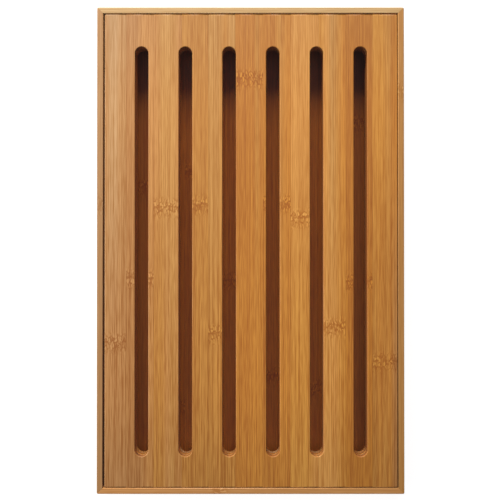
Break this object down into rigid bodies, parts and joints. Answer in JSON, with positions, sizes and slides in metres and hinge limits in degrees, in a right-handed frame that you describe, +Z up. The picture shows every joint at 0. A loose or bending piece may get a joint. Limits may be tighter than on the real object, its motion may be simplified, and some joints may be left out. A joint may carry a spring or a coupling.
{
  "type": "bread board with crumb tray",
  "caption": "Slotted bamboo bread board of glued strips that lifts out of a shallow mitred bamboo tray, with room under it for the crumbs.",
  "frame": {"origin": "bottom centre of the tray, on the surface that it stands on", "axes": "+X across the board to the picture's right, +Y along the board to the picture's top, +Z up"},
  "size_m": [0.24, 0.38, 0.035],
  "materials": {
    "tray_wall_bamboo": "satin oiled bamboo, grain along each wall",
    "tray_floor_bamboo": "satin oiled flat-pressed bamboo strips",
    "ledge_bamboo": "sanded bamboo, grain along the ledge",
    "board_face_bamboo": "satin oiled flat-pressed bamboo strips, their knuckles showing",
    "board_core_bamboo": "bamboo core ply, seen only in the slot walls and at the board's edges",
    "board_back_bamboo": "satin flat-pressed bamboo strips"
  },
  "bodies": {
    "tray": {"tray_wall_left": "tray_wall_bamboo", "tray_wall_right": "tray_wall_bamboo", "tray_wall_back": "tray_wall_bamboo", "tray_wall_front": "tray_wall_bamboo", "tray_floor_strip_1": "tray_floor_bamboo", "tray_floor_strip_2": "tray_floor_bamboo", "tray_floor_strip_3": "tray_floor_bamboo", "tray_floor_strip_4": "tray_floor_bamboo", "tray_floor_strip_5": "tray_floor_bamboo", "tray_floor_strip_6": "tray_floor_bamboo", "tray_floor_strip_7": "tray_floor_bamboo", "tray_floor_strip_8": "tray_floor_bamboo", "tray_floor_strip_9": "tray_floor_bamboo", "tray_floor_strip_10": "tray_floor_bamboo", "tray_floor_strip_11": "tray_floor_bamboo", "board_ledge_back": "ledge_bamboo", "board_ledge_front": "ledge_bamboo"},
    "board": {"board_face_strip_1": "board_face_bamboo", "board_face_strip_2": "board_face_bamboo", "board_face_strip_3": "board_face_bamboo", "board_face_strip_4": "board_face_bamboo", "board_face_strip_5": "board_face_bamboo", "board_face_strip_6": "board_face_bamboo", "board_face_strip_7": "board_face_bamboo", "board_face_strip_8": "board_face_bamboo", "board_face_strip_9": "board_face_bamboo", "board_face_strip_10": "board_face_bamboo", "board_face_strip_11": "board_face_bamboo", "board_core_ply": "board_core_bamboo", "board_back_strip_1": "board_back_bamboo", "board_back_strip_2": "board_back_bamboo", "board_back_strip_3": "board_back_bamboo", "board_back_strip_4": "board_back_bamboo", "board_back_strip_5": "board_back_bamboo", "board_back_strip_6": "board_back_bamboo", "board_back_strip_7": "board_back_bamboo", "board_back_strip_8": "board_back_bamboo", "board_back_strip_9": "board_back_bamboo", "board_back_strip_10": "board_back_bamboo", "board_back_strip_11": "board_back_bamboo"}
  },
  "joints": [
    {"name": "board_lift", "type": "slide", "parent": "tray", "child": "board", "axis": [0, 0, 1], "range_m": [0, 0.06]}
  ]
}
